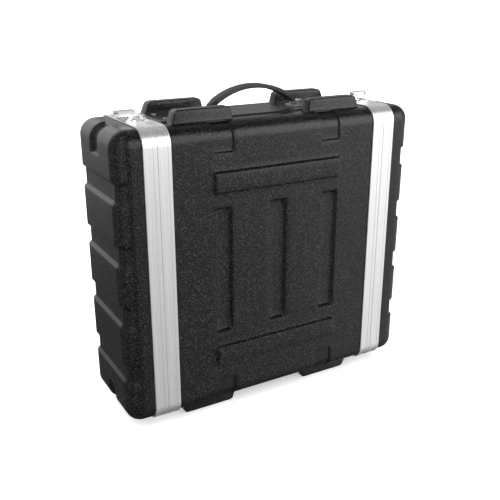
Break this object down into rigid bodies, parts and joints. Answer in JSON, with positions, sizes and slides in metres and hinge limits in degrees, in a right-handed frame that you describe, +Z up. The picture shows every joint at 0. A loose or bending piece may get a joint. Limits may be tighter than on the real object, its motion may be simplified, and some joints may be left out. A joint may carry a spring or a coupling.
{
  "type": "equipment rack case",
  "caption": "Portable moulded case for 19 inch rack equipment, with removable covers at both ends, metal bands, draw latches, stacking blocks and an arched carrying handle.",
  "frame": {"origin": "on the floor, below the middle of the case", "axes": "+X from the front cover to the rear cover, +Y across the rack units, +Z up along the 19 inch width, towards the handle"},
  "size_m": [0.616, 0.208, 0.6087],
  "materials": {
    "shell_plastic": "pebble-grained black ABS",
    "band_aluminium": "brushed, clear anodised",
    "latch_chrome": "polished plating",
    "plated_steel": "zinc plated",
    "rivet_metal": "satin",
    "screw_steel": "zinc plated",
    "rail_steel": "zinc plated sheet",
    "spring_steel": "blued strip",
    "grip_rubber": "moulded, fine grain",
    "seal_rubber": "smooth"
  },
  "bodies": {
    "case_body": {"body_shell": "shell_plastic", "front_body_frame": "band_aluminium", "rear_body_frame": "band_aluminium", "front_seal": "seal_rubber", "rear_seal": "seal_rubber", "front_rail_top": "rail_steel", "front_rail_bottom": "rail_steel", "rear_rail_top": "rail_steel", "rear_rail_bottom": "rail_steel", "rail_screws": "screw_steel", "rail_nuts": "screw_steel", "front_handle_bracket": "plated_steel", "rear_handle_bracket": "plated_steel", "bracket_screws": "screw_steel", "front_catch_plate_top": "latch_chrome", "front_catch_plate_bottom": "latch_chrome", "rear_catch_plate_top": "latch_chrome", "rear_catch_plate_bottom": "latch_chrome", "catch_rivets": "rivet_metal"},
    "handle": {"handle_core": "spring_steel", "handle_grip": "grip_rubber", "handle_pins": "plated_steel"},
    "front_cover": {"front_cover_shell": "shell_plastic", "front_cover_frame": "band_aluminium", "front_latch_base_top": "latch_chrome", "front_latch_base_bottom": "latch_chrome", "front_latch_rivets": "rivet_metal", "front_lever_pins": "plated_steel"},
    "rear_cover": {"rear_cover_shell": "shell_plastic", "rear_cover_frame": "band_aluminium", "rear_latch_base_top": "latch_chrome", "rear_latch_base_bottom": "latch_chrome", "rear_latch_rivets": "rivet_metal", "rear_lever_pins": "plated_steel"},
    "front_lever_top": {"front_latch_lever_top": "latch_chrome", "front_claw_pin_top": "latch_chrome"},
    "front_claw_top": {"front_latch_claw_top": "latch_chrome"},
    "front_lever_bottom": {"front_latch_lever_bottom": "latch_chrome", "front_claw_pin_bottom": "latch_chrome"},
    "front_claw_bottom": {"front_latch_claw_bottom": "latch_chrome"},
    "rear_lever_top": {"rear_latch_lever_top": "latch_chrome", "rear_claw_pin_top": "latch_chrome"},
    "rear_claw_top": {"rear_latch_claw_top": "latch_chrome"},
    "rear_lever_bottom": {"rear_latch_lever_bottom": "latch_chrome", "rear_claw_pin_bottom": "latch_chrome"},
    "rear_claw_bottom": {"rear_latch_claw_bottom": "latch_chrome"}
  },
  "joints": [
    {"name": "front_cover_pull", "type": "slide", "parent": "case_body", "child": "front_cover", "axis": [-1, 0, 0], "range_m": [0, 0.15]},
    {"name": "rear_cover_pull", "type": "slide", "parent": "case_body", "child": "rear_cover", "axis": [1, 0, 0], "range_m": [0, 0.15]},
    {"name": "front_lever_top_turn", "type": "hinge", "parent": "front_cover", "child": "front_lever_top", "pos_m": [-0.238, 0, 0.5722], "axis": [0, 1, 0], "range_deg": [0, 120]},
    {"name": "front_claw_top_turn", "type": "hinge", "parent": "front_lever_top", "child": "front_claw_top", "pos_m": [-0.2625, 0, 0.5727], "axis": [0, 1, 0], "range_deg": [-150, 0]},
    {"name": "front_lever_bottom_turn", "type": "hinge", "parent": "front_cover", "child": "front_lever_bottom", "pos_m": [-0.238, 0, 0.01], "axis": [0, -1, 0], "range_deg": [0, 120]},
    {"name": "front_claw_bottom_turn", "type": "hinge", "parent": "front_lever_bottom", "child": "front_claw_bottom", "pos_m": [-0.2625, 0, 0.0095], "axis": [0, -1, 0], "range_deg": [-150, 0]},
    {"name": "rear_lever_top_turn", "type": "hinge", "parent": "rear_cover", "child": "rear_lever_top", "pos_m": [0.238, 0, 0.5722], "axis": [0, -1, 0], "range_deg": [0, 120]},
    {"name": "rear_claw_top_turn", "type": "hinge", "parent": "rear_lever_top", "child": "rear_claw_top", "pos_m": [0.2625, 0, 0.5727], "axis": [0, -1, 0], "range_deg": [-150, 0]},
    {"name": "rear_lever_bottom_turn", "type": "hinge", "parent": "rear_cover", "child": "rear_lever_bottom", "pos_m": [0.238, 0, 0.01], "axis": [0, 1, 0], "range_deg": [0, 120]},
    {"name": "rear_claw_bottom_turn", "type": "hinge", "parent": "rear_lever_bottom", "child": "rear_claw_bottom", "pos_m": [0.2625, 0, 0.0095], "axis": [0, 1, 0], "range_deg": [-150, 0]},
    {"name": "handle_swing", "type": "hinge", "parent": "case_body", "child": "handle", "pos_m": [0, 0, 0.5681], "axis": [1, 0, 0], "range_deg": [-45, 45]}
  ],
  "couplings": [
    {"joint": "front_claw_top_turn", "follows": "front_lever_top_turn", "ratio": -1.2},
    {"joint": "front_claw_bottom_turn", "follows": "front_lever_bottom_turn", "ratio": -1.2},
    {"joint": "rear_claw_top_turn", "follows": "rear_lever_top_turn", "ratio": -1.2},
    {"joint": "rear_claw_bottom_turn", "follows": "rear_lever_bottom_turn", "ratio": -1.2}
  ]
}
